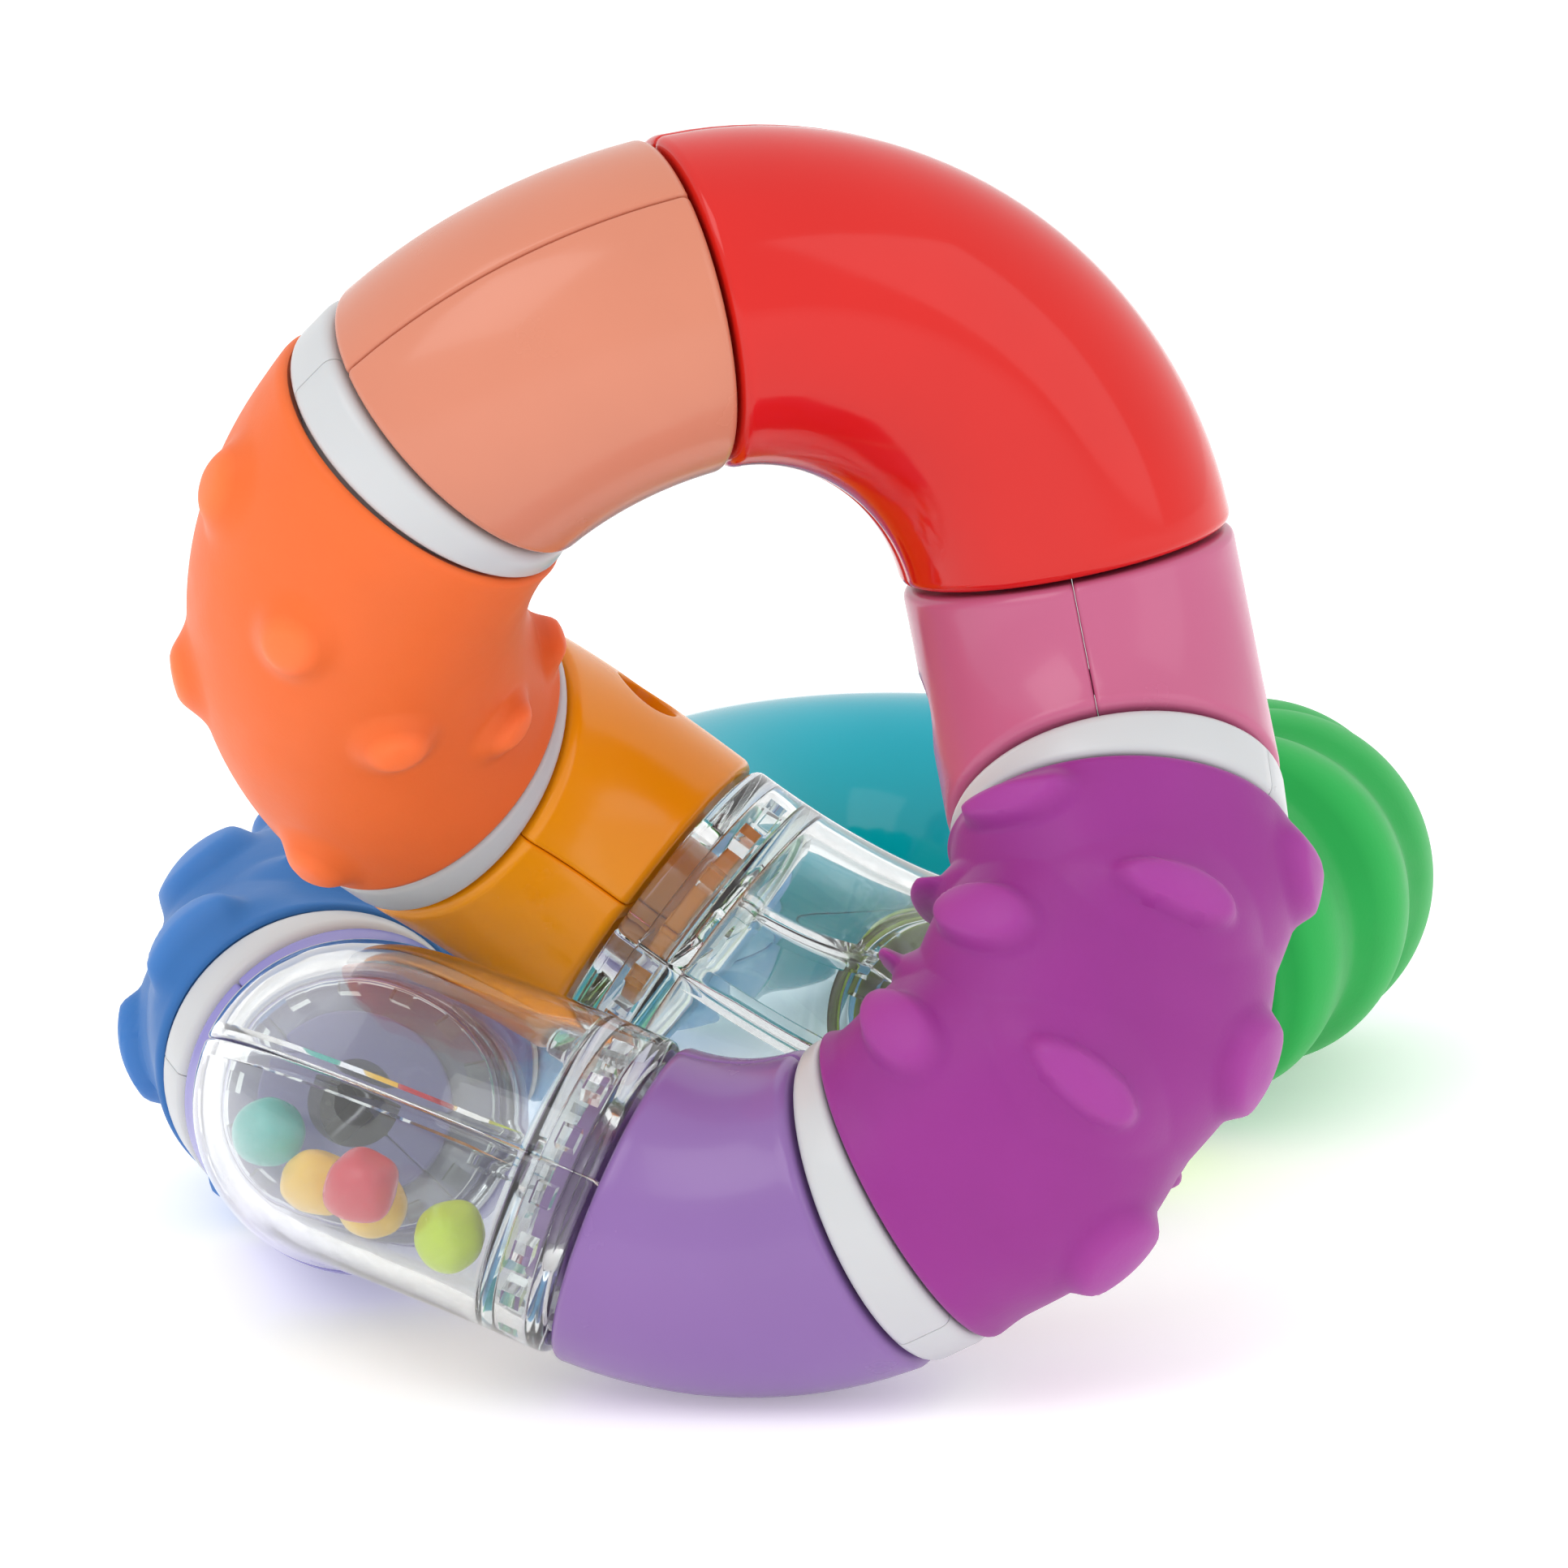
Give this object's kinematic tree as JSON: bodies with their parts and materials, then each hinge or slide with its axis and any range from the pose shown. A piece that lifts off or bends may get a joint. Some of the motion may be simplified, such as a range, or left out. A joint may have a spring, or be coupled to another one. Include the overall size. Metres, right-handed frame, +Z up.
{
  "type": "teething ring",
  "caption": "Endless loop of curved tube links that swivel on each other: soft bumpy silicone links, glossy shells and clear bead rattles.",
  "frame": {"origin": "centre of the bounding box at its base, on the surface the loop rests on", "axes": "+Z up, -Y towards the side the picture was taken from, +X to its right"},
  "size_m": [0.115, 0.1597, 0.1032],
  "materials": {
    "red_plastic": "glossy moulded plastic",
    "peach_plastic": "satin moulded plastic",
    "orange_silicone": "matte food-grade silicone",
    "yellow_plastic": "satin moulded plastic",
    "lime_plastic": "satin moulded plastic",
    "green_silicone": "matte food-grade silicone",
    "mint_plastic": "satin moulded plastic",
    "teal_plastic": "glossy moulded plastic",
    "sky_plastic": "satin moulded plastic",
    "blue_silicone": "matte food-grade silicone",
    "periwinkle_plastic": "satin moulded plastic",
    "lavender_plastic": "satin moulded plastic",
    "purple_silicone": "matte food-grade silicone",
    "pink_plastic": "satin moulded plastic",
    "white_core": "satin moulded plastic",
    "clear_plastic": "clear moulded plastic",
    "screw_steel": "plated steel",
    "bead_teal": "glossy plastic bead",
    "bead_yellow": "glossy plastic bead",
    "bead_red": "glossy plastic bead",
    "bead_lime": "glossy plastic bead"
  },
  "bodies": {
    "red_link": {"red_front_half": "red_plastic", "red_back_half": "red_plastic"},
    "peach_link": {"peach_front_half": "peach_plastic", "peach_back_half": "peach_plastic", "peach_screw": "screw_steel"},
    "orange_link": {"orange_core_front_half": "white_core", "orange_core_back_half": "white_core", "orange_sleeve": "orange_silicone"},
    "yellow_link": {"yellow_front_half": "yellow_plastic", "yellow_back_half": "yellow_plastic", "yellow_screw": "screw_steel"},
    "clear_a_link": {"clear_a_front_half": "clear_plastic", "clear_a_back_half": "clear_plastic"},
    "lime_link": {"lime_front_half": "lime_plastic", "lime_back_half": "lime_plastic", "lime_screw": "screw_steel"},
    "green_link": {"green_core_front_half": "white_core", "green_core_back_half": "white_core", "green_sleeve": "green_silicone"},
    "mint_link": {"mint_front_half": "mint_plastic", "mint_back_half": "mint_plastic", "mint_screw": "screw_steel"},
    "teal_link": {"teal_front_half": "teal_plastic", "teal_back_half": "teal_plastic"},
    "sky_link": {"sky_front_half": "sky_plastic", "sky_back_half": "sky_plastic", "sky_screw": "screw_steel"},
    "blue_link": {"blue_core_front_half": "white_core", "blue_core_back_half": "white_core", "blue_sleeve": "blue_silicone"},
    "periwinkle_link": {"periwinkle_front_half": "periwinkle_plastic", "periwinkle_back_half": "periwinkle_plastic", "periwinkle_screw": "screw_steel"},
    "clear_b_link": {"clear_b_front_half": "clear_plastic", "clear_b_back_half": "clear_plastic"},
    "lavender_link": {"lavender_front_half": "lavender_plastic", "lavender_back_half": "lavender_plastic", "lavender_screw": "screw_steel"},
    "purple_link": {"purple_core_front_half": "white_core", "purple_core_back_half": "white_core", "purple_sleeve": "purple_silicone"},
    "pink_link": {"pink_front_half": "pink_plastic", "pink_back_half": "pink_plastic", "pink_screw": "screw_steel"},
    "rattle_beads": {"bead_teal": "bead_teal", "bead_yellow_1": "bead_yellow", "bead_yellow_2": "bead_yellow", "bead_red": "bead_red", "bead_lime": "bead_lime"}
  },
  "joints": [
    {"name": "peach_swivel", "type": "hinge", "parent": "red_link", "child": "peach_link", "pos_m": [-0.00481, -0.04981, 0.08925], "axis": [-0.9429, -0.3081, -0.1268], "range_deg": [-26.2, 9.2]},
    {"name": "orange_swivel", "type": "hinge", "parent": "peach_link", "child": "orange_link", "pos_m": [-0.02432, -0.05073, 0.08044], "axis": [-0.7395, 0.2285, -0.6332], "range_deg": [-6.5, 18.5]},
    {"name": "yellow_swivel", "type": "hinge", "parent": "orange_link", "child": "yellow_link", "pos_m": [-0.02711, -0.02948, 0.04714], "axis": [0.6399, 0.5305, -0.5559], "range_deg": [-40, 14]},
    {"name": "clear_a_swivel", "type": "hinge", "parent": "yellow_link", "child": "clear_a_link", "pos_m": [-0.01084, -0.02591, 0.03365], "axis": [0.7624, -0.2232, -0.6074], "range_deg": [-0.6, 1.4]},
    {"name": "lime_swivel", "type": "hinge", "parent": "clear_a_link", "child": "lime_link", "pos_m": [0.01721, -0.00502, 0.01509], "axis": [0.2396, 0.9693, -0.0555], "range_deg": [-49.9, 17.5]},
    {"name": "green_swivel", "type": "hinge", "parent": "lime_link", "child": "green_link", "pos_m": [0.02952, 0.01245, 0.01665], "axis": [0.8217, 0.5373, 0.1899], "range_deg": [-2.9, 8]},
    {"name": "mint_swivel", "type": "hinge", "parent": "green_link", "child": "mint_link", "pos_m": [0.03864, 0.05097, 0.01564], "axis": [-0.496, 0.8384, -0.226], "range_deg": [-7.7, 21.8]},
    {"name": "pink_swivel", "type": "hinge", "parent": "red_link", "child": "pink_link", "pos_m": [0.02554, -0.04185, 0.06509], "axis": [0.1408, -0.0237, -0.9898], "range_deg": [-2.6, 7.2]},
    {"name": "purple_swivel", "type": "hinge", "parent": "pink_link", "child": "purple_link", "pos_m": [0.02849, -0.05051, 0.04571], "axis": [0.1138, -0.7235, -0.6809], "range_deg": [-13.1, 4.7]},
    {"name": "lavender_swivel", "type": "hinge", "parent": "purple_link", "child": "lavender_link", "pos_m": [0.00645, -0.06478, 0.01607], "axis": [-0.9009, 0.2137, -0.3777], "range_deg": [-3.5, 9.7]},
    {"name": "clear_b_swivel", "type": "hinge", "parent": "lavender_link", "child": "clear_b_link", "pos_m": [-0.01435, -0.05961, 0.01619], "axis": [-0.892, 0.2327, 0.3874], "range_deg": [-0.5, 1.3]},
    {"name": "periwinkle_swivel", "type": "hinge", "parent": "clear_b_link", "child": "periwinkle_link", "pos_m": [-0.03707, -0.02718, 0.01667], "axis": [0.0807, 0.9255, -0.3701], "range_deg": [-33.5, 11.8]},
    {"name": "blue_swivel", "type": "hinge", "parent": "periwinkle_link", "child": "blue_link", "pos_m": [-0.04094, -0.00618, 0.01484], "axis": [-0.4145, 0.885, 0.2121], "range_deg": [-9.9, 28.1]},
    {"name": "sky_swivel", "type": "hinge", "parent": "blue_link", "child": "sky_link", "pos_m": [-0.02766, 0.03103, 0.01752], "axis": [0.8885, 0.4439, -0.1162], "range_deg": [-6.2, 17.5]},
    {"name": "teal_swivel", "type": "hinge", "parent": "sky_link", "child": "teal_link", "pos_m": [-0.01352, 0.04711, 0.01673], "axis": [0.3313, 0.9423, 0.0481], "range_deg": [-52.5, 18.4]},
    {"name": "beads_roll", "type": "hinge", "parent": "clear_b_link", "child": "rattle_beads", "pos_m": [-0.01209, -0.03369, 0.00582], "axis": [0.4447, 0.2989, 0.8443], "range_deg": [-2, 2]}
  ],
  "couplings": [
    {"joint": "peach_swivel", "follows": "yellow_swivel", "ratio": 0.6517},
    {"joint": "orange_swivel", "follows": "yellow_swivel", "ratio": -0.4605},
    {"joint": "clear_a_swivel", "follows": "yellow_swivel", "ratio": -0.0323},
    {"joint": "lime_swivel", "follows": "yellow_swivel", "ratio": 1.2445},
    {"joint": "green_swivel", "follows": "yellow_swivel", "ratio": -0.1973},
    {"joint": "mint_swivel", "follows": "yellow_swivel", "ratio": -0.5418},
    {"joint": "pink_swivel", "follows": "yellow_swivel", "ratio": -0.1776},
    {"joint": "purple_swivel", "follows": "yellow_swivel", "ratio": 0.3256},
    {"joint": "lavender_swivel", "follows": "yellow_swivel", "ratio": -0.2407},
    {"joint": "clear_b_swivel", "follows": "yellow_swivel", "ratio": -0.0306},
    {"joint": "periwinkle_swivel", "follows": "yellow_swivel", "ratio": 0.8349},
    {"joint": "blue_swivel", "follows": "yellow_swivel", "ratio": -0.6991},
    {"joint": "sky_swivel", "follows": "yellow_swivel", "ratio": -0.4361},
    {"joint": "teal_swivel", "follows": "yellow_swivel", "ratio": 1.3103}
  ]
}
